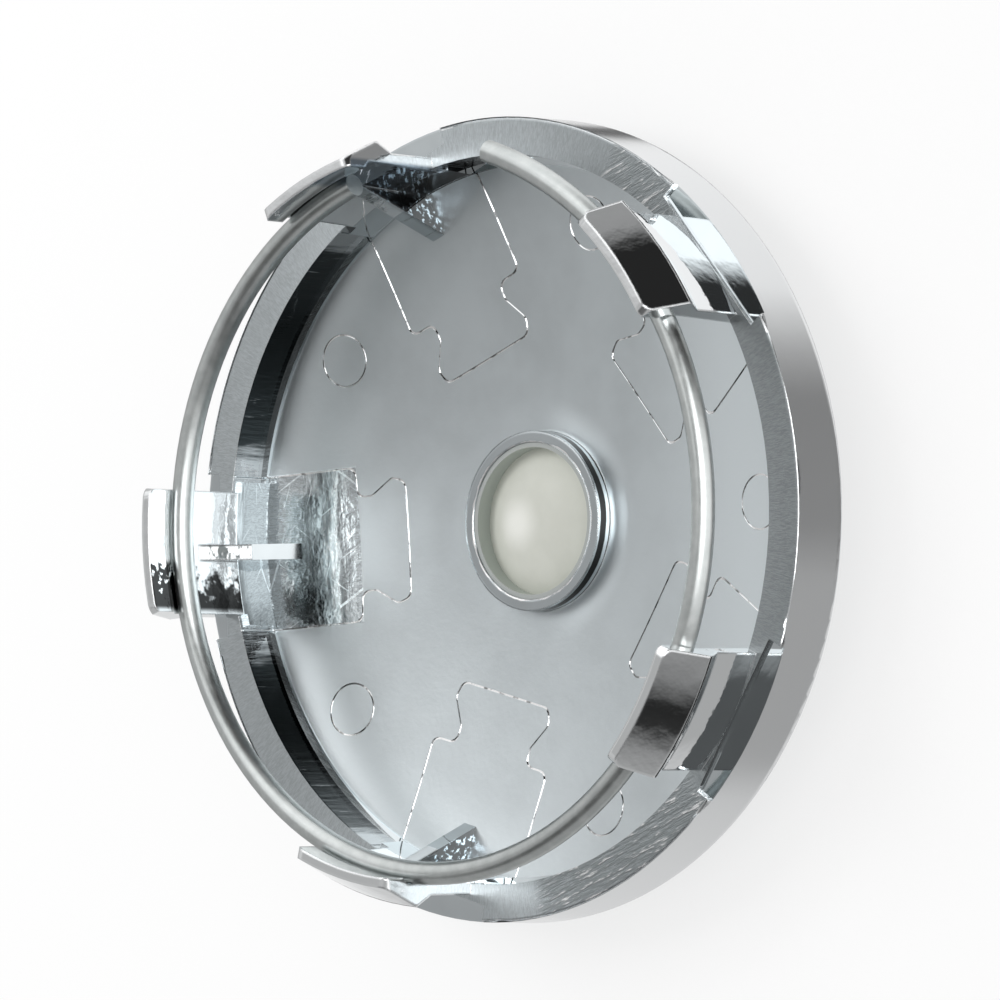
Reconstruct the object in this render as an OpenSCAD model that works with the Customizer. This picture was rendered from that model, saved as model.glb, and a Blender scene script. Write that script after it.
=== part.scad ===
// Snap-in wheel centre cap with a domed face, five clips and a split spring ring, in millimetres.
// The cap lies on the small flat in the middle of its face at z = 0 and its axis is Z, with the clips pointing up.

/* [Face and rim] */
// Diameter over the rim
cap_d = 60; // [58:1:68]
// Rise of the domed face from the flat in its middle to the rim
face_crown = 3.4; // [2.6:0.2:4.4]
// Diameter of the flat in the middle of the face
flat_d = 10; // [6:1:14]
// Thickness of the domed web behind the face
web_t = 2.5; // [2:0.1:3]
// Height of the back of the rim above the middle of the face
rim_top = 8.6; // [8:0.2:10]
// Width of the back of the rim
rim_w = 2.9; // [2.6:0.1:3.6]
// Radius that blends the face into the side of the rim
face_edge_r = 1.2; // [0.8:0.1:1.6]
// Radius on the outer back edge of the rim
rim_edge_r = 0.3; // [0.2:0.05:0.5]
// Narrowing of the side of the rim towards its back, on the radius
rim_draft = 0.12; // [0:0.02:0.2]
// Height of the ledge at the foot of the wall
foot_h = 0.25; // [0.15:0.05:0.4]
// Width of the ledge at the foot of the wall
foot_w = 0.5; // [0.3:0.1:0.8]

/* [Clips] */
// Number of clips around the rim
clip_count = 5; // [4:1:6]
// Height of the tip of the clips above the middle of the face
clip_top = 17.9; // [15:0.1:20]
// Width of a clip
clip_w = 9.8; // [8:0.2:11]
// Width of a clip where it leaves the rim
clip_root_w = 11.2; // [10.4:0.2:12]
// Thickness of a clip arm at the wire
clip_t = 0.85; // [0.8:0.05:1]
// Lean of the inside of a clip arm, from the floor to the wire
clip_lean = 0.45; // [0.3:0.05:0.6]
// Step from the wall of the rim in to the inside of the clips
clip_step = 0.05; // [0.03:0.01:0.1]
// Distance from the clip tips down to the widest point of the hooks
hook_peak_drop = 3.5; // [3.1:0.1:3.7]
// Reach of the hooks outside the clip arms
hook_reach = 0.85; // [0.5:0.05:1.1]
// Height over which a hook slopes back in to its arm
hook_drop = 1.5; // [1.2:0.1:1.8]
// Radius on the widest point of the hooks
hook_r = 0.45; // [0.3:0.05:0.55]
// Width of the flat end of a clip, across its thickness
tip_w = 0.75; // [0.6:0.05:0.9]
// Overhang of the lip above the wire
lip_reach = 0.5; // [0.3:0.05:0.6]
// Height of the lip above the wire
lip_h = 1.9; // [1.6:0.1:2]
// Radius on the corners of a clip tip
tip_corner_r = 0.9; // [0.5:0.1:1.2]
// Thickness of the rib inside a clip
rib_t = 1.2; // [1:0.1:1.5]
// Distance from the clip tips down to the top of the rib
rib_drop = 5.7; // [5.3:0.1:5.9]
// Reach of the foot of the rib over the floor
rib_reach = 3.2; // [2.6:0.2:4]
// Depth of the flat behind each clip
slide_depth = 0.35; // [0.2:0.05:0.5]
// Width of the flat behind each clip
slide_w = 12.8; // [12.2:0.2:13.6]

/* [Spring ring] */
// Diameter of the spring wire
wire_d = 1.7; // [1.5:0.1:1.8]
// Distance from the clip tips down to the middle of the wire
wire_drop = 3.2; // [3:0.1:3.3]
// Clearance between the wire and the clip arms
wire_clear = 0.02; // [0.01:0.01:0.05]
// Angle of the clip that hides the split in the ring
split_clip_a = 108; // [108:72:252]
// Angle from the middle of that clip to the end of the wire inside it
split_lead = 4.5; // [0:0.5:6]
// Angle from the middle of that clip back to where the other end of the wire springs free
free_from = 68; // [62:1:70]
// Angle that the free end of the wire turns through
free_sweep = 27.7; // [20:0.1:30]
// Extra radius of the free end of the wire
free_spring = 6.4; // [3:0.2:8]

/* [Boss and plug] */
// Diameter of the boss in the middle of the floor
boss_d = 13.5; // [12.5:0.25:15]
// Diameter of the hole in the boss
boss_hole_d = 11.8; // [10.5:0.1:12]
// Height of the boss above the middle of the floor
boss_h = 1.5; // [1.2:0.1:1.8]
// Depth of the seat of the plug below the middle of the floor
seat_depth = 1.1; // [0.8:0.1:1.4]
// Clearance around the plug
plug_clear = 0.02; // [0.01:0.01:0.05]
// Thickness of the wall of the plug
plug_wall = 0.35; // [0.3:0.05:0.5]
// Drop of the top of the plug below the top of the boss
plug_drop = 0.1; // [0.05:0.05:0.2]
// Drop of the edge of the dome of the plug below the top of the boss
dome_drop = 1.45; // [1.2:0.05:1.6]
// Rise of the dome of the plug
dome_h = 1; // [0.6:0.1:1.1]

/* [Marks of the mould] */
// Depth of the fine lines in the floor
line_depth = 0.1; // [0.06:0.02:0.16]
// Width of the fine lines in the floor
line_w = 0.14; // [0.1:0.02:0.2]
// Diameter of the ejector pin marks
pin_d = 4.1; // [3.5:0.1:4.5]
// Radius of the circle that the pin marks lie on
pin_circle_r = 22.8; // [20.5:0.1:23]
// Turn of the pin marks from the middle between two clips, in degrees
pin_turn = -2.4; // [-5:0.2:5]
// Width of the outline of a mould insert along a clip
insert_w = 12; // [11.6:0.2:12.4]
// Radius at which the outline steps in to its neck
insert_step_r = 17.9; // [17:0.1:19]
// Width of the neck of the outline
neck_w = 7.4; // [6:0.2:8]
// Length of the neck of the outline
neck_l = 1.3; // [0.8:0.1:1.8]
// Width of the head of the outline
head_w = 9.8; // [9:0.2:11]
// Length of the head of the outline
head_l = 3.3; // [2.8:0.1:3.8]
// Length over which the head flares out of the neck
flare_l = 2; // [1.4:0.1:2.2]
// Radius on the corners of the outline
corner_r = 0.7; // [0.3:0.05:0.8]

/* [Hidden] */
$fn = 96;
EPS = 0.01;
CORNER_STEPS = 4;

cap_r = cap_d / 2;
clip_pitch = 360 / clip_count;
clip_start = 180;
flat_r = flat_d / 2;
face_z = (cap_r * cap_r + face_crown * face_crown - flat_r * flat_r) / (2 * face_crown);
face_r = norm([flat_r, face_z]);
floor_r = face_r - web_t;
wall_r = cap_r - rim_w;
rim_back_r = cap_r - rim_draft;
edge_x = cap_r - face_edge_r;
edge_z = face_z - sqrt(pow(face_r - face_edge_r, 2) - edge_x * edge_x);
edge_tangent_x = edge_x * face_r / (face_r - face_edge_r);
edge_tangent_z = face_z - (face_z - edge_z) * face_r / (face_r - face_edge_r);
wire_r = wire_d / 2;
wire_z = clip_top - wire_drop;
arm_in_r = wall_r - clip_step;
ring_r = arm_in_r - wire_clear - wire_r;
arm_out_r = arm_in_r + clip_t;
arm_root_r = arm_in_r - clip_lean;
hook_out_r = arm_out_r + hook_reach;
hook_peak_z = clip_top - hook_peak_drop;
rib_top = clip_top - rib_drop;
lip_in_r = arm_in_r - lip_reach;
undercut_z = clip_top - lip_h - lip_reach;
clip_a = 2 * asin(clip_w / 2 / arm_out_r);
root_a = 2 * asin(clip_root_w / 2 / wall_r);
root_top = rim_top - 2 * slide_depth;
tip_out_r = lip_in_r + tip_w;
boss_top = floor_z(0) + boss_h;
seat_z = floor_z(0) - seat_depth;
plug_r = boss_hole_d / 2 - plug_clear;
dome_edge_z = boss_top - dome_drop;
dome_base_r = plug_r - plug_wall;
dome_r = (dome_base_r * dome_base_r + dome_h * dome_h) / (2 * dome_h);

// Height of the floor at a distance from the axis
function floor_z(r) = face_z - sqrt(floor_r * floor_r - r * r);

// Corner of a closed outline replaced by a short arc that meets both of its sides
function corner_arc(a, b, c, r) =
    let (
        u = (a - b) / norm(a - b),
        v = (c - b) / norm(c - b),
        half = acos(u * v) / 2,
        centre = b + (u + v) / norm(u + v) * r / sin(half),
        p = b + u * r / tan(half) - centre,
        q = b + v * r / tan(half) - centre,
        start = atan2(p[1], p[0]),
        raw = atan2(q[1], q[0]) - start,
        sweep = raw > 180 ? raw - 360 : raw < -180 ? raw + 360 : raw
    )
    [for (i = [0 : CORNER_STEPS])
        centre + r * [cos(start + sweep * i / CORNER_STEPS), sin(start + sweep * i / CORNER_STEPS)]];

// Outline of the mould insert at one clip, drawn in by m, from the wall towards the axis along X
function insert_corners(m) =
    let (
        step_x = insert_step_r + m,
        neck_x = insert_step_r - neck_l,
        wide_x = neck_x - flare_l,
        head_x = neck_x - head_l + m,
        body_y = insert_w / 2 - m,
        neck_y = neck_w / 2 - m,
        head_y = head_w / 2 - m,
        inner_y = head_y - (head_w - neck_w) / 6
    )
    [
        [step_x, body_y],
        [step_x, neck_y],
        [neck_x, neck_y],
        [wide_x, head_y],
        [head_x, inner_y],
        [head_x, -inner_y],
        [wide_x, -head_y],
        [neck_x, -neck_y],
        [step_x, -neck_y],
        [step_x, -body_y]
    ];

function insert_outline(m) =
    let (
        wall_x = wall_r - foot_w,
        body_y = insert_w / 2 - m,
        start = [wall_x, body_y],
        finish = [wall_x, -body_y],
        p = concat([start], insert_corners(m), [finish])
    )
    concat(
        [start],
        [for (i = [1 : len(p) - 2]) each corner_arc(p[i - 1], p[i], p[i + 1], corner_r)],
        [finish]
    );

module at_clips() {
    for (i = [0 : clip_count - 1])
        rotate(clip_start - i * clip_pitch)
            children();
}

// Waste at the corner b of an outline, between its two sides and a circle that touches both
module corner_waste(a, b, c, r) {
    u = (a - b) / norm(a - b);
    v = (c - b) / norm(c - b);
    half = acos(u * v) / 2;
    centre = b + (u + v) / norm(u + v) * r / sin(half);
    reach = r / tan(half);
    difference() {
        polygon([b, b + u * reach, centre, b + v * reach]);
        translate(centre)
            circle(r = r);
    }
}

// Half section of the domed face and the rim, with the blend between them
module shell_section() {
    difference() {
        intersection() {
            translate([0, face_z])
                circle(r = face_r, $fn = 180);
            polygon([[0, 0], [cap_r, 0], [cap_r, edge_z], [rim_back_r, rim_top], [0, rim_top]]);
        }
        difference() {
            polygon([
                [edge_x, edge_z],
                [edge_tangent_x, edge_tangent_z],
                [edge_tangent_x, edge_tangent_z - face_edge_r],
                [cap_r + EPS, edge_tangent_z - face_edge_r],
                [cap_r + EPS, edge_z]
            ]);
            translate([edge_x, edge_z])
                circle(r = face_edge_r);
        }
        corner_waste([0, rim_top], [rim_back_r, rim_top], [cap_r, edge_z], rim_edge_r);
    }
}

// Half section of the hollow, with its floor parallel to the domed face and a ledge at the wall
module hollow_section() {
    intersection() {
        translate([0, face_z])
            circle(r = floor_r - foot_h, $fn = 180);
        square([wall_r, rim_top * 2]);
    }
    intersection() {
        translate([0, face_z])
            circle(r = floor_r, $fn = 180);
        square([wall_r - foot_w, rim_top]);
    }
}

// Half section of everything that is turned about the axis
module turned_section() {
    difference() {
        union() {
            difference() {
                shell_section();
                hollow_section();
            }
            translate([0, web_t / 2])
                square([boss_d / 2, boss_top - web_t / 2]);
        }
        translate([0, seat_z])
            square([boss_hole_d / 2, boss_top]);
    }
}

// Section of a clip arm with its hook outside and its lip inside
module clip_section() {
    root_z = floor_z(arm_root_r) - web_t / 2;
    tip_out = [tip_out_r, clip_top];
    ledge = [arm_out_r, hook_peak_z - hook_drop];
    peak = [hook_out_r, hook_peak_z];
    difference() {
        polygon([
            [arm_root_r, root_z],
            [arm_root_r, floor_z(arm_root_r)],
            [arm_in_r, wire_z - wire_r],
            [arm_in_r, undercut_z],
            [lip_in_r, undercut_z + lip_reach],
            [lip_in_r, clip_top],
            tip_out,
            peak,
            ledge,
            [arm_out_r, root_z]
        ]);
        corner_waste(tip_out, peak, ledge, hook_r);
    }
}

// Section turned about the axis through an angle that is centred on X
module turned_arc(angle) {
    rotate(-angle / 2)
        rotate_extrude(angle = angle)
            children();
}

// Waste outside the rounded corners of a clip tip, seen face-on
module tip_waste() {
    side = clip_w / 2;
    for (turn = [0, 1])
        mirror([turn, 0])
            difference() {
                translate([side - tip_corner_r, clip_top - tip_corner_r])
                    square(tip_corner_r * 2);
                translate([side - tip_corner_r, clip_top - tip_corner_r])
                    circle(r = tip_corner_r);
            }
}

// Clip cut from one turned arc, wider in the rim than above it
module clip() {
    side_a = root_a - clip_a;
    difference() {
        turned_arc(root_a)
            clip_section();
        for (turn = [-1, 1])
            rotate(turn * (clip_a + side_a) / 2)
                turned_arc(side_a)
                    translate([wall_r / 2, root_top])
                        square([wall_r, clip_top]);
        rotate([90, 0, 90])
            linear_extrude(height = cap_r)
                tip_waste();
    }
}

// Rib that braces a clip arm against the floor
module rib() {
    foot_r = arm_root_r - rib_reach;
    rotate([90, 0, 0])
        linear_extrude(height = rib_t, center = true)
            polygon([
                [foot_r, floor_z(foot_r)],
                [foot_r, floor_z(foot_r) - web_t / 2],
                [arm_root_r + clip_t, floor_z(foot_r) - web_t / 2],
                [arm_in_r + clip_t / 2, rib_top],
                [arm_in_r - clip_lean / 4, rib_top]
            ]);
}

// Flat left behind a clip by the slide that forms its outside
module slide_flat() {
    translate([arm_out_r, -slide_w / 2, rim_top - slide_depth])
        cube([rim_w, slide_w, slide_depth + EPS]);
}

// Fine lines left in the floor by the inserts and the ejector pins
module mould_lines() {
    intersection() {
        translate([0, 0, face_z])
            sphere(r = floor_r + line_depth, $fn = 180);
        union() {
            at_clips()
                linear_extrude(height = rim_top)
                    difference() {
                        polygon(insert_outline(0));
                        polygon(insert_outline(line_w));
                        translate([wall_r - foot_w - line_w, -insert_w])
                            square([line_w * 2, insert_w * 2]);
                    }
            at_clips()
                rotate(clip_pitch / 2 + pin_turn)
                    translate([pin_circle_r, 0])
                        difference() {
                            cylinder(d = pin_d, h = rim_top);
                            cylinder(d = pin_d - 2 * line_w, h = rim_top);
                        }
        }
    }
}

module cap_body() {
    color("Silver")
        difference() {
            union() {
                difference() {
                    rotate_extrude($fn = 180)
                        turned_section();
                    at_clips()
                        slide_flat();
                }
                at_clips()
                    clip();
                at_clips()
                    rib();
            }
            mould_lines();
        }
}

// Wire turned from the X axis about a centre that lies back from the axis of the cap
module wire_arc(sweep, back) {
    translate([-back, 0])
        rotate_extrude(angle = sweep)
            translate([ring_r + back, wire_z])
                circle(r = wire_r);
}

// Split ring, with one end sprung outwards between two clips
module spring_ring() {
    color("LightSteelBlue")
        rotate(split_clip_a - free_from) {
            mirror([0, 1, 0])
                wire_arc(360 - free_from + split_lead, 0);
            wire_arc(free_sweep, free_spring);
        }
}

// Half section of the plug, a shallow cup with a domed floor
module plug_section() {
    difference() {
        translate([0, seat_z])
            square([plug_r, boss_top - plug_drop - seat_z]);
        translate([0, dome_edge_z])
            square([dome_base_r, boss_top]);
    }
    intersection() {
        translate([0, dome_edge_z + dome_h - dome_r])
            circle(r = dome_r);
        translate([0, seat_z])
            square([plug_r - plug_wall / 2, boss_top]);
    }
}

module centre_plug() {
    color("Ivory")
        rotate_extrude()
            plug_section();
}

cap_body();
spring_ring();
centre_plug();
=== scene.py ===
"""Wheel centre cap lying on its domed face, seen from behind.

The body is plated plastic, the spring ring is galvanised wire and the plug in the boss is ivory plastic.
"""

import math
from types import SimpleNamespace

import bpy
from mathutils import Matrix, Vector

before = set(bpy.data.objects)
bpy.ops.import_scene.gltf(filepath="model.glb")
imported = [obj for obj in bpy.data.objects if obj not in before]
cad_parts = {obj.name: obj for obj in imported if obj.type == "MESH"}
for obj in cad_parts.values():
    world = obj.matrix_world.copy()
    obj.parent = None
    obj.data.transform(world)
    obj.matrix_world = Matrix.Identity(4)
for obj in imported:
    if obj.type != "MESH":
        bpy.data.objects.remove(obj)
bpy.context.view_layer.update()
scene = bpy.context.scene
MM = 0.001

# Sizes of the cap that the materials need
CAP_R = 30 * MM
FACE_CROWN = 3.4 * MM
FACE_FLAT_R = 5 * MM
WEB_T = 2.5 * MM
WALL_R = 27.1 * MM
RIM_TOP = 8.6 * MM
BOSS_R = 6.75 * MM
BORE_R = 5.9 * MM
INSERT_INNER = 17.9 * MM
INSERT_OUTER = 26.7 * MM
INSERT_HALF_W = 6 * MM
CLIP_PITCH = 72
CLIP_INNER_R = 23 * MM
EDGE_R = 0.28 * MM
PLUG_RIM_R = 5.5 * MM
PLUG_RIM_Z = 3.7 * MM
# Offset of the painted highlight on the plug from the middle
PLUG_HIGHLIGHT_SHIFT = 1.9 * MM

# The face is part of a sphere about this height on the axis, and the floor is part of a smaller one
FACE_Z = (CAP_R ** 2 + FACE_CROWN ** 2 - FACE_FLAT_R ** 2) / (2 * FACE_CROWN)
FLOOR_R = math.hypot(FACE_FLAT_R, FACE_Z) - WEB_T

# Tints of grey
COOL = (0.93, 1.0, 1.03)
STEEL = (0.98, 1.0, 1.01)
BLUE = (0.85, 0.97, 1.05)


# Nodes

class Term:
    """A node's output. Sums, differences and products with terms and plain numbers add math nodes."""

    def __init__(self, shader, socket):
        self.shader = shader
        self.socket = socket

    def __add__(self, other):
        return self.shader.math("ADD", self, other)

    def __sub__(self, other):
        return self.shader.math("SUBTRACT", self, other)

    def __rsub__(self, other):
        return self.shader.math("SUBTRACT", other, self)

    def __mul__(self, other):
        return self.shader.math("MULTIPLY", self, other)

class Shader:
    """Short calls that add nodes to one node tree and link them."""

    def __init__(self, tree):
        self.tree = tree
        self.tree.nodes.clear()

    def node(self, kind, **settings):
        made = self.tree.nodes.new(kind)
        for key, value in settings.items():
            setattr(made, key, value)
        return made

    def put(self, value, socket):
        """Links a term to an input, or writes a plain value into it."""
        if isinstance(value, Term):
            self.tree.links.new(value.socket, socket)
        elif value is not None:
            socket.default_value = value

    def fill(self, made, values, sockets, output=0):
        """Puts the values into some of the node's inputs, and gives one of its outputs."""
        for value, socket in zip(values, sockets):
            self.put(value, made.inputs[socket])
        return Term(self, made.outputs[output])

    def output(self, kind, name):
        return Term(self, self.node(kind).outputs[name])

    def math(self, operation, *values):
        return self.fill(self.node("ShaderNodeMath", operation=operation), values, range(3))

    def vector(self, operation, a, b=None):
        """Vector sum or difference, or the number that a length gives."""
        made = self.node("ShaderNodeVectorMath", operation=operation)
        return self.fill(made, (a, b), (0, 1), 1 if operation == "LENGTH" else 0)

    def split(self, vector):
        made = self.node("ShaderNodeSeparateXYZ")
        self.put(vector, made.inputs[0])
        return [Term(self, output) for output in made.outputs]

    def join(self, x, y, z):
        return self.fill(self.node("ShaderNodeCombineXYZ"), (x, y, z), range(3))

    def rise(self, value, low, high, a=0.0, b=1.0):
        """Smooth change from a to b while value goes from low to high."""
        made = self.node("ShaderNodeMapRange", interpolation_type="SMOOTHSTEP")
        return self.fill(made, (value, low, high, a, b), range(5))

    def fall(self, value, low, high):
        return self.rise(value, low, high, 1.0, 0.0)

    def band(self, value, low, high, soft):
        """1 between low and high, 0 outside them."""
        return self.rise(value, low - soft, low + soft) * self.fall(value, high - soft, high + soft)

    def most(self, first, *others):
        """Largest of some numbers."""
        for other in others:
            first = self.math("MAXIMUM", first, other)
        return first

    def mix(self, factor, a, b):
        """Mix of two numbers."""
        return self.fill(self.node("ShaderNodeMix", data_type="FLOAT"), (factor, a, b), (0, 2, 3))

    def turn(self, factor, a, b):
        """Mix of two directions."""
        made = self.node("ShaderNodeMix", data_type="VECTOR")
        return self.fill(made, (factor, a, b), (0, 4, 5), 1)

    def blend(self, factor, a, b, how="MIX"):
        """Mix of two colours."""
        made = self.node("ShaderNodeMix", data_type="RGBA", blend_type=how)
        return self.fill(made, (factor, a, b), (0, 6, 7), 2)

    def noise(self, vector, scale, detail, roughness):
        made = self.node("ShaderNodeTexNoise")
        return self.fill(made, (vector, scale, detail, roughness), ("Vector", "Scale", "Detail", "Roughness"))

    def bump(self, height, normal=None):
        """Normal of a surface with this height, in metres."""
        made = self.node("ShaderNodeBump")
        return self.fill(made, (height, 1.0, 1.0, normal), ("Height", "Distance", "Strength", "Normal"))

    def bevel(self, radius):
        return self.fill(self.node("ShaderNodeBevel", samples=6), (radius,), ("Radius",))

    def here(self):
        """The place being shaded, in metres, its angle round the cap, and the way that the surface faces."""
        place = self.output("ShaderNodeTexCoord", "Object")
        x, y, z = self.split(place)
        nx, ny, nz = self.split(self.output("ShaderNodeNewGeometry", "True Normal"))
        radius = self.vector("LENGTH", self.join(x, y, 0.0))
        radians = self.math("ARCTAN2", y, x)
        degrees = self.math("DEGREES", radians)
        return SimpleNamespace(
            place=place, x=x, y=y, z=z, nx=nx, ny=ny, nz=nz, radius=radius, radians=radians, degrees=degrees
        )


def grey(level, tint=(1.0, 1.0, 1.0)):
    return (level * tint[0], level * tint[1], level * tint[2], 1.0)


def material(name):
    made = bpy.data.materials.new(name)
    made.use_nodes = True
    return made, Shader(made.node_tree)


def surface(s, shader):
    """Links a shader to the output of a material or of the world."""
    in_world = shader.bl_idname == "ShaderNodeBackground"
    out = s.node("ShaderNodeOutputWorld" if in_world else "ShaderNodeOutputMaterial")
    s.tree.links.new(shader.outputs[0], out.inputs["Surface"])


def principled(s, **inputs):
    """Principled shader with its inputs set."""
    shader = s.node("ShaderNodeBsdfPrincipled")
    for key, value in inputs.items():
        s.put(value, shader.inputs[key.replace("_", " ")])
    surface(s, shader)


def dress(node, made):
    """The node keeps its mesh and wears the material in every slot."""
    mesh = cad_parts[node].data
    if not mesh.materials:
        mesh.materials.append(made)
    for i in range(len(mesh.materials)):
        mesh.materials[i] = made


# Plated body

def body_zones(s, at):
    """Parts of the body, each 1 on the part and 0 off it."""
    to_centre = s.vector("SUBTRACT", at.place, (0.0, 0.0, FACE_Z))
    depth = s.vector("LENGTH", to_centre) - FLOOR_R
    up = s.rise(at.nz, 0.7, 0.85)
    upright = s.fall(s.math("ABSOLUTE", at.nz), 0.3, 0.5)
    inside = s.fall(at.radius, WALL_R - 0.25 * MM, WALL_R)
    floor = up * inside * s.rise(depth, -0.25 * MM, -0.2 * MM)
    groove = inside * s.rise(depth, 0.02 * MM, 0.06 * MM) * s.fall(depth, 0.4 * MM, 0.5 * MM)
    back = up * s.band(at.z, RIM_TOP - 0.04 * MM, RIM_TOP + 0.04 * MM, 0.02 * MM)
    side = upright * s.rise(at.radius, CAP_R - 0.7 * MM, CAP_R - 0.5 * MM)
    wall = upright * s.band(at.radius, WALL_R - 0.02 * MM, WALL_R + 0.02 * MM, 0.01 * MM)
    wall = wall * s.fall(at.z, RIM_TOP, RIM_TOP + 0.02 * MM)
    clip = s.rise(at.radius, CLIP_INNER_R, CLIP_INNER_R + 0.2 * MM)
    clip = clip * s.rise(at.z, RIM_TOP - 0.36 * MM, RIM_TOP - 0.3 * MM)
    clip = clip * (1.0 - back) * (1.0 - side)
    boss = upright * s.band(at.radius, BOSS_R - 0.15 * MM, BOSS_R + 0.15 * MM, 0.02 * MM)
    # The insert under the left clip was polished, the others were not
    insert = floor * s.band(at.x, -INSERT_OUTER, -INSERT_INNER, 0.05 * MM)
    insert = insert * s.band(at.y, -INSERT_HALF_W, INSERT_HALF_W, 0.05 * MM)
    # The back is worn rough where the slides of the mould moved over it
    worn = s.most(s.band(at.degrees, 47, 61, 1.15), s.band(at.degrees, -84, -49, 1.72))
    return SimpleNamespace(
        up=up, floor=floor, groove=groove, back=back, side=side, wall=wall, clip=clip, boss=boss,
        insert=insert, worn=worn
    )


def plating_textures(s, at):
    """Noises of the plating, each from 0 to 1."""
    grain = s.noise(at.place, 2200.0, 2.0, 0.6)
    cloud = s.noise(at.place, 160.0, 3.0, 0.6)
    ripple = s.noise(at.place, 240.0, 2.0, 0.5)
    peel = s.noise(at.place, 1100.0, 2.0, 0.55)
    scratch = s.noise(s.join(at.radians * 1.6, at.radius * 8.0, at.z * 2.0), 260.0, 4.0, 0.7)
    streak = s.noise(s.join(at.radians * 0.9, 0.0, at.z * 3.0), 60.0, 4.0, 0.65)
    flow = s.noise(s.join(at.x * 1100.0, at.y * 170.0, 0.0), 1.0, 4.0, 0.7)
    gouge_along = at.x * 0.95 + at.y * 0.32
    gouge_across = at.y * 0.95 - at.x * 0.32
    gouge = s.noise(s.join(gouge_along * 420.0, gouge_across * 2900.0, 0.0), 1.0, 3.0, 0.7)
    return SimpleNamespace(
        grain=grain, cloud=cloud, ripple=ripple, peel=peel, scratch=scratch, streak=streak, flow=flow,
        gouge=gouge
    )


def fine_scuffs(s, at):
    """Short straight scratches in three directions."""
    found = []
    for turn, seed in ((0.5, 1.0), (1.2, 5.0), (2.5, 9.0)):
        along = at.x * math.cos(turn) + at.y * math.sin(turn)
        across = at.y * math.cos(turn) - at.x * math.sin(turn)
        spot = s.noise(s.join(along * 130.0, across * 2600.0, seed), 1.0, 1.0, 0.5)
        found.append(s.rise(spot, 0.66, 0.74))
    return s.most(*found)


def plating_roughness(s, at, zone, texture):
    rough = s.mix(zone.floor, 0.04, s.rise(texture.cloud, 0.25, 0.75, 0.285, 0.32))
    rough = s.mix(zone.floor * s.fall(at.radius, 7 * MM, 10 * MM), rough, 0.42)
    rough = s.mix(zone.insert, rough, s.rise(texture.cloud, 0.3, 0.7, 0.07, 0.16))
    rough = s.mix(zone.side, rough, 0.16)
    rough = s.mix(zone.back, rough, s.rise(texture.scratch, 0.3, 0.7, 0.3, 0.42))
    return s.mix(zone.groove, rough, 0.12)


def floor_colour(s, at, zone, texture):
    """Satin grey, with painted reflections of light making it brighter towards the lower left and the right
    and beside the boss.
    """
    colour = s.blend(s.rise(texture.cloud, 0.3, 0.7), grey(0.63, COOL), grey(0.69, COOL))
    lower_left = s.rise((at.x + at.y) * -0.7, 11 * MM, 24 * MM) * s.rise(at.radius, 20 * MM, 26.5 * MM)
    colour = s.blend(zone.floor * lower_left, colour, grey(0.88, COOL))
    colour = s.blend(zone.floor * s.rise(at.x, 10 * MM, 22 * MM), colour, grey(0.84, COOL))
    by_boss = s.fall(at.radius, 7 * MM, 9.5 * MM) * s.rise(at.x, 0.0, 4 * MM)
    return s.blend(zone.floor * by_boss, colour, grey(0.97, COOL))


def insert_colour(s, at, texture):
    """Polished insert: flow marks in the middle, scratches all over."""
    plain = s.blend(s.rise(texture.scratch, 0.4, 0.6), grey(0.5, COOL), grey(0.68, COOL))
    marks = s.blend(s.rise(texture.flow, 0.4, 0.62), grey(0.26, COOL), grey(0.97, COOL))
    colour = s.blend(s.band(at.x, -22.8 * MM, -18.8 * MM, 0.7 * MM), plain, marks)
    return s.blend(fine_scuffs(s, at), colour, grey(0.97, COOL))


def back_colour(s, at, zone, texture):
    """Dull back of the rim, darker to the right, with bright tufts where it is worn."""
    colour = s.blend(s.rise(texture.scratch, 0.35, 0.65), grey(0.5, COOL), grey(0.66, COOL))
    colour = s.blend(s.rise(at.x, -8 * MM, 28 * MM), colour, grey(0.62), "MULTIPLY")
    tufts = s.blend(s.rise(texture.gouge, 0.56, 0.66), grey(0.4, COOL), grey(0.97))
    colour = s.blend(zone.worn * s.rise(texture.gouge, 0.4, 0.47), colour, tufts)
    return s.blend(s.fall(at.x, -24 * MM, -12 * MM), colour, grey(0.82), "MULTIPLY")


def paint_wall_reflection(s, at, zone, texture, colour):
    """Painted reflection: the wall is painted dark where it would mirror the dark side of the room, apart
    from the stretches beside the clips.
    """
    into_pitch = s.math("MODULO", at.degrees + 5.5 * CLIP_PITCH, CLIP_PITCH)
    from_clip = s.math("ABSOLUTE", into_pitch - CLIP_PITCH / 2)
    near_clip = s.rise(from_clip + texture.streak * 11.5, 23, 27)
    dark = zone.wall * (1.0 - near_clip) * s.rise(texture.streak, 0.64, 0.72, 1.0, 0.3)
    return s.blend(dark, colour, grey(0.05, (0.8, 0.95, 1.0)))


def paint_left_clip_reflection(s, at, zone, texture, colour):
    """Painted reflection: dark speckled patch on the lower part of the arm and of the lip."""
    inner = zone.clip * s.fall(at.x, -24 * MM, -23.8 * MM) * s.rise(at.nx, 0.5, 0.7)
    below = at.y * -1.0 - 2.6 * MM + (texture.peel - 0.5) * (7 * MM)
    on_lip = s.rise(at.z, 13 * MM, 14 * MM)
    below = below + on_lip * s.mix(texture.grain, -3 * MM, 6 * MM)
    patch = s.rise(below, -1.1 * MM, 0.3 * MM) * s.band(at.y, -4.5 * MM, -0.8 * MM, 0.3 * MM)
    return s.blend(inner * patch, colour, grey(0.04))


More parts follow.
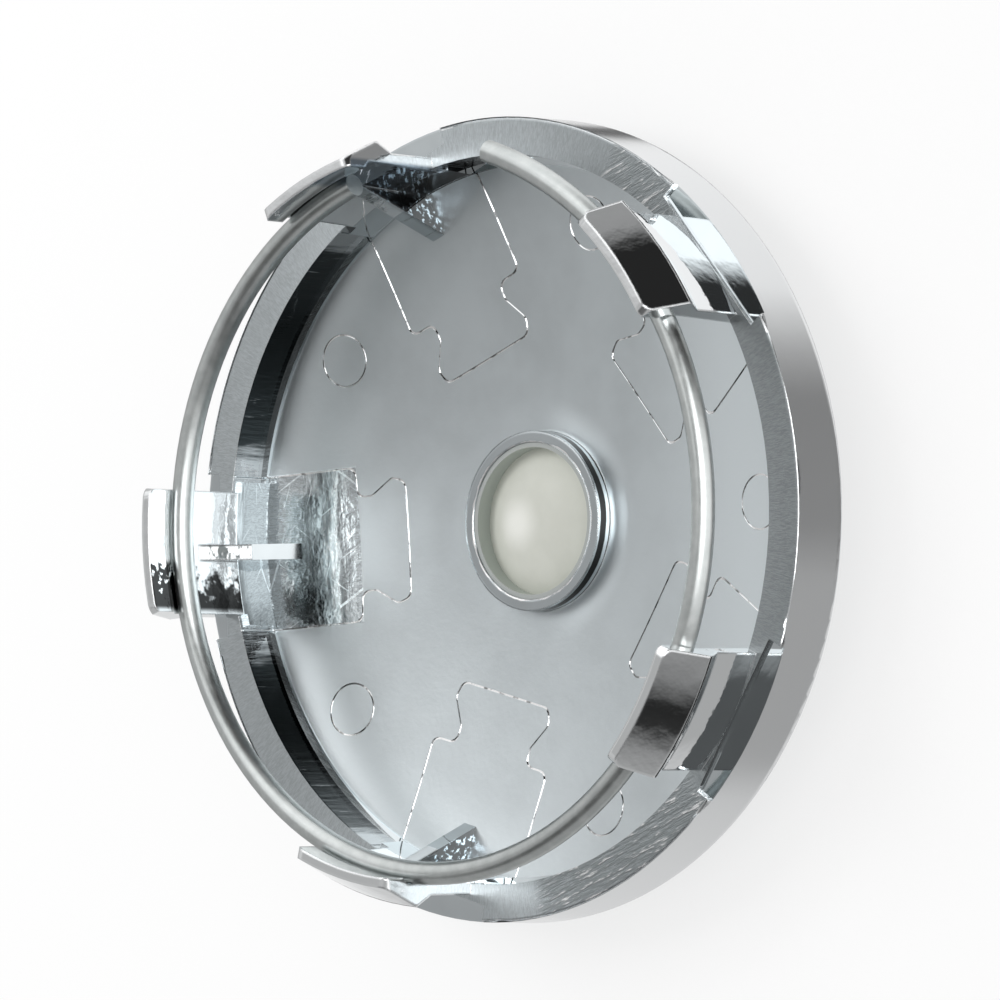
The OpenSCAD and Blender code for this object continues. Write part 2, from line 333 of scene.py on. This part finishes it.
def paint_upper_clip_reflection(s, at, texture, colour):
    """Painted reflection: the right half of its arm is painted dark where it mirrors the dark side of the
    room, fading to grey higher up.
    """
    half = s.band(at.degrees, 84, 106.6, 1.15) * s.rise(at.z, 4.6 * MM, 5 * MM)
    half = half * s.band(at.radius, 22.5 * MM, 27.2 * MM, 0.2 * MM) * s.fall(at.nz, 0.4, 0.6)
    reflection_fade = s.rise(at.z + texture.peel * (5 * MM), 9.5 * MM, 14 * MM)
    return s.blend(half, colour, s.blend(reflection_fade, grey(0.04), grey(0.4, (0.8, 0.95, 1.1))))


def speckle_ribs(s, at, texture, colour):
    """Speckled right sides of the ribs of the upper and lower clips."""
    for facing, low, high, dark, light in ((18, 100, 114, 0.06, 0.5), (-18, -116, -100, 0.1, 0.8)):
        turned = at.nx * math.cos(math.radians(facing)) + at.ny * math.sin(math.radians(facing))
        side = s.rise(turned, 0.8, 0.95) * s.band(at.degrees, low, high, 0.57)
        side = side * s.rise(at.z, 2.3 * MM, 2.5 * MM)
        speckle = s.blend(s.rise(texture.grain, 0.54, 0.64), grey(dark), grey(light, BLUE))
        colour = s.blend(side, colour, speckle)
    return colour


def paint_boss_reflections(s, at, zone, texture, colour):
    """Painted reflections: dark lines painted round the side of the boss, and a painted highlight on the
    bright ragged edge of its bore.
    """
    level = at.z + texture.ripple * (0.3 * MM)
    upper = s.band(level, 3.2 * MM, 3.85 * MM, 0.05 * MM)
    lower = s.band(level, 2.5 * MM, 2.85 * MM, 0.05 * MM)
    colour = s.blend(zone.boss * s.most(upper, lower), colour, grey(0.03))
    ragged = at.radius + (texture.peel - 0.5) * (0.5 * MM)
    edge = zone.up * s.band(ragged, BORE_R - 0.1 * MM, BORE_R + 0.12 * MM, 0.02 * MM)
    return s.blend(edge * s.rise(at.z, 3.8 * MM, 3.9 * MM), colour, grey(1.0))


def plated():
    made, s = material("plated_plastic")
    at = s.here()
    zone = body_zones(s, at)
    texture = plating_textures(s, at)
    colour = floor_colour(s, at, zone, texture)
    colour = s.blend(zone.insert, colour, insert_colour(s, at, texture))
    colour = s.blend(zone.clip, colour, grey(0.9, STEEL))
    colour = s.blend(zone.side, colour, grey(0.8, (0.985, 1.0, 1.01)))
    colour = s.blend(zone.wall, colour, grey(0.5, (0.96, 1.0, 1.02)))
    colour = s.blend(zone.back, colour, back_colour(s, at, zone, texture))
    # Painted reflections: the groove is painted in dark and bright dashes
    colour = s.blend(zone.groove, colour, s.blend(s.rise(texture.peel, 0.36, 0.5), grey(0.28), grey(0.85)))
    colour = paint_wall_reflection(s, at, zone, texture, colour)
    colour = paint_upper_clip_reflection(s, at, texture, colour)
    colour = paint_boss_reflections(s, at, zone, texture, colour)
    colour = paint_left_clip_reflection(s, at, zone, texture, colour)
    colour = speckle_ribs(s, at, texture, colour)
    wavy = s.most(zone.clip, zone.wall, zone.boss)
    height = (
        texture.grain * zone.floor * (0.008 * MM)
        + texture.scratch * zone.back * (0.02 * MM)
        + texture.gouge * zone.worn * zone.back * (0.12 * MM)
        + texture.ripple * s.mix(wavy, 0.012 * MM, 0.05 * MM)
        + texture.peel * wavy * (0.01 * MM)
        + texture.peel * zone.insert * (0.02 * MM)
        + texture.streak * zone.wall * (0.05 * MM)
    )
    # Rounded edges catch the light on the clips and the boss
    on_boss = s.fall(at.radius, BOSS_R + 0.25 * MM, BOSS_R + 0.35 * MM) * s.rise(at.z, 1 * MM, 1.1 * MM)
    rounded = s.most(zone.clip, on_boss)
    normal = s.turn(rounded, s.output("ShaderNodeNewGeometry", "Normal"), s.bevel(EDGE_R))
    rough = plating_roughness(s, at, zone, texture)
    principled(s, Base_Color=colour, Metallic=1.0, Roughness=rough, Normal=s.bump(height, normal))
    return made


# Spring ring and plug

def galvanised():
    made, s = material("galvanised_wire")
    at = s.here()
    drawn = s.noise(s.join(at.radians * 0.004, at.radius, at.z), 3500.0, 2.0, 0.6)
    spangle = s.noise(at.place, 900.0, 3.0, 0.6)
    shade = s.rise(spangle, 0.3, 0.7)
    colour = s.blend(shade, grey(0.54, (0.95, 1.0, 0.99)), grey(0.62, (0.96, 1.0, 0.99)))
    height = drawn * (0.002 * MM) + spangle * (0.0008 * MM)
    rough = s.rise(spangle, 0.3, 0.7, 0.29, 0.33)
    principled(s, Base_Color=colour, Metallic=1.0, Roughness=rough, Normal=s.bump(height))
    return made


def ivory():
    made, s = material("ivory_plastic")
    at = s.here()
    mottle = s.noise(at.place, 500.0, 3.0, 0.55)
    colour = s.blend(s.rise(mottle, 0.3, 0.7), (0.57, 0.58, 0.525, 1), (0.6, 0.61, 0.555, 1))
    # Painted highlight: paler round a spot off the middle of the dome. Painted shade: greyer on its upright
    # wall. Greyer also on its rim
    from_highlight = s.vector("LENGTH", s.join(at.x + PLUG_HIGHLIGHT_SHIFT, at.y, 0.0))
    colour = s.blend(s.rise(from_highlight, 0.3 * MM, 2.6 * MM, 0.75, 0.0), colour, (0.84, 0.84, 0.8, 1))
    colour = s.blend(s.fall(at.nz, 0.5, 0.7), colour, (0.42, 0.46, 0.42, 1))
    rim = s.rise(at.radius, PLUG_RIM_R, PLUG_RIM_R + 0.06 * MM)
    rim = rim * s.rise(at.z, PLUG_RIM_Z, PLUG_RIM_Z + 0.05 * MM)
    colour = s.blend(rim, colour, (0.36, 0.38, 0.37, 1))
    rough = s.rise(mottle, 0.3, 0.7, 0.28, 0.34)
    principled(s, Base_Color=colour, Roughness=rough, Normal=s.bump(mottle * (0.01 * MM)))
    return made


# Floor, light and camera

FLOOR_HALF_W = 1.2
FLOOR_GAP = 0.02 * MM
SOFT_LEVEL = 0.8

# Camera fitted to the photograph: its lens in millimetres, its place in metres, and its right, up and back
CAMERA_LENS = 214.65
CAMERA_PLACE = (0.2971287, -0.0402782, 0.3336681)
CAMERA_RIGHT = (0.734989, -0.054115, -0.675916)
CAMERA_UP = (0.103451, 0.994090, 0.032905)
CAMERA_BACK = (0.670141, -0.094109, 0.736244)

# What the plating mirrors: the studio in bands of elevation, each with its level at some azimuths in degrees
LOWEST_BAND = [
    (-180, 0.9), (-160, 0.75), (-120, 0.72), (-90, 0.66), (-75, 0.42), (-20, 0.4), (-6, 0.26), (32, 0.25),
    (45, 0.45), (65, 0.95), (130, 1.0), (134, 0.9), (138, 0.04), (147, 0.04), (151, 0.9), (180, 0.9),
]
# The other bands begin with the elevations, in degrees, between which they take over from the band below
STUDIO = [
    (-40, -30, [
        (-180, 0.47), (-145, 0.45), (-80, 0.45), (-72, 0.4), (-66, 0.26), (-60, 0.03), (-54, 0.02),
        (-46, 0.22), (-38, 0.34), (-27, 1.3), (16, 1.4), (26, 0.5), (32, 0.02), (68, 0.02), (74, 0.3),
        (83, 0.34), (88, 1.45), (106, 1.45), (112, 0.6), (180, 0.47),
    ]),
    (2, 9, [
        (-180, 0.6), (-158, 0.5), (-145, 0.45), (-80, 0.45), (-72, 0.4), (-66, 0.26), (-60, 0.03),
        (-54, 0.02), (-46, 0.22), (-38, 0.34), (-27, 1.4), (16, 1.5), (26, 0.5), (32, 0.02), (68, 0.02),
        (74, 0.3), (83, 0.34), (88, 1.45), (106, 1.45), (112, 1.2), (140, 0.95), (156, 0.62), (180, 0.6),
    ]),
    (26, 34, [
        (-180, 0.6), (-160, 0.5), (-151, 0.45), (-143, 0.12), (-104, 0.13), (-54, 0.13), (-48, 0.4),
        (-24, 0.5), (-18, 4.0), (30, 4.0), (36, 0.03), (72, 0.03), (80, 1.6), (114, 1.6), (122, 1.3),
        (146, 0.95), (156, 0.5), (168, 0.68), (180, 0.66),
    ]),
    (39, 45, [
        (-180, 0.46), (-151, 0.5), (-144, 0.1), (-122, 0.1), (-104, 0.13), (-54, 0.13), (-48, 0.4),
        (-24, 0.45), (-18, 4.0), (30, 4.0), (36, 0.04), (75, 0.04), (84, 1.6), (112, 1.6), (122, 1.35),
        (150, 1.3), (164, 0.8), (172, 0.44), (180, 0.46),
    ]),
    (62, 72, [(-180, 0.5), (120, 0.5), (132, 1.2), (162, 1.2), (174, 0.5), (180, 0.5)]),
]


def mixed(s, factor, first, second):
    """Shader between two shaders."""
    made = s.node("ShaderNodeMixShader")
    s.put(factor, made.inputs[0])
    s.tree.links.new(first.outputs[0], made.inputs[1])
    s.tree.links.new(second.outputs[0], made.inputs[2])
    return made


def make_floor():
    """Pale sheet under the cap, clear from below, with the cap's shadow. Its glow is for the camera alone."""
    mesh = bpy.data.meshes.new("floor")
    half = FLOOR_HALF_W
    corners = [(-half, -half, 0), (half, -half, 0), (half, half, 0), (-half, half, 0)]
    mesh.from_pydata(corners, [], [(0, 1, 2, 3)])
    floor = bpy.data.objects.new("floor", mesh)
    floor.location.z = -FLOOR_GAP
    scene.collection.objects.link(floor)
    made, s = material("pale_floor")
    made.cycles.emission_sampling = "NONE"
    paper = s.node("ShaderNodeBsdfDiffuse")
    paper.inputs["Color"].default_value = grey(0.9)
    white = s.node("ShaderNodeEmission")
    white.inputs["Color"].default_value = grey(1.0)
    above = mixed(s, s.output("ShaderNodeLightPath", "Is Camera Ray") * 0.7, paper, white)
    below = s.node("ShaderNodeBsdfTransparent")
    surface(s, mixed(s, s.output("ShaderNodeNewGeometry", "Backfacing"), above, below))
    mesh.materials.append(made)
    floor.visible_glossy = False


def level_round(s, azimuth, stops):
    """Level at an azimuth, which goes from 0 to 1 all the way round, between the levels of the stops."""
    ramp = s.node("ShaderNodeValToRGB")
    s.put(azimuth, ramp.inputs[0])
    points = ramp.color_ramp.elements
    while len(points) < len(stops):
        points.new(1.0)
    for point, (degrees, level) in zip(points, stops):
        point.position = degrees / 360 + 0.5
        point.color = grey(level)
    return Term(s, ramp.outputs[0])


def make_world():
    """White to the camera, the painted studio to metal, and plain soft light to everything else."""
    world = bpy.data.worlds.new("studio")
    world.use_nodes = True
    scene.world = world
    s = Shader(world.node_tree)
    x, y, z = s.split(s.output("ShaderNodeTexCoord", "Generated"))
    azimuth = s.math("MULTIPLY_ADD", s.math("ARCTAN2", y, x), 0.5 / math.pi, 0.5)
    seen = level_round(s, azimuth, LOWEST_BAND)
    for low, high, stops in STUDIO:
        above = s.rise(z, math.sin(math.radians(low)), math.sin(math.radians(high)))
        seen = s.blend(above, seen, level_round(s, azimuth, stops))
    colour = s.blend(s.output("ShaderNodeLightPath", "Is Glossy Ray"), grey(SOFT_LEVEL), seen)
    colour = s.blend(s.output("ShaderNodeLightPath", "Is Camera Ray"), colour, grey(1.0))
    back = s.node("ShaderNodeBackground")
    s.put(colour, back.inputs["Color"])
    surface(s, back)
    world.cycles.sampling_method = "NONE"


def make_lamp(name, position, size, power):
    """Round lamp that shines at the cap."""
    lamp = bpy.data.lights.new(name, "AREA")
    lamp.shape = "DISK"
    lamp.size = size
    lamp.energy = power
    made = bpy.data.objects.new(name, lamp)
    made.location = position
    made.rotation_euler = (-Vector(position)).to_track_quat("-Z", "Y").to_euler()
    made.visible_glossy = False
    scene.collection.objects.link(made)


def make_camera():
    data = bpy.data.cameras.new("camera")
    data.sensor_width = 36
    data.lens = CAMERA_LENS
    data.clip_start = 0.01
    made = bpy.data.objects.new("camera", data)
    turn = Matrix((CAMERA_RIGHT, CAMERA_UP, CAMERA_BACK)).transposed().to_4x4()
    made.matrix_world = Matrix.Translation(CAMERA_PLACE) @ turn
    scene.collection.objects.link(made)
    scene.camera = made


dress("cap_body", plated())
dress("spring_ring", galvanised())
dress("centre_plug", ivory())
make_floor()
make_world()
make_lamp("key", position=(-0.25, 0.2, 0.5), size=0.35, power=1.2)
make_camera()
scene.view_settings.view_transform = "Standard"
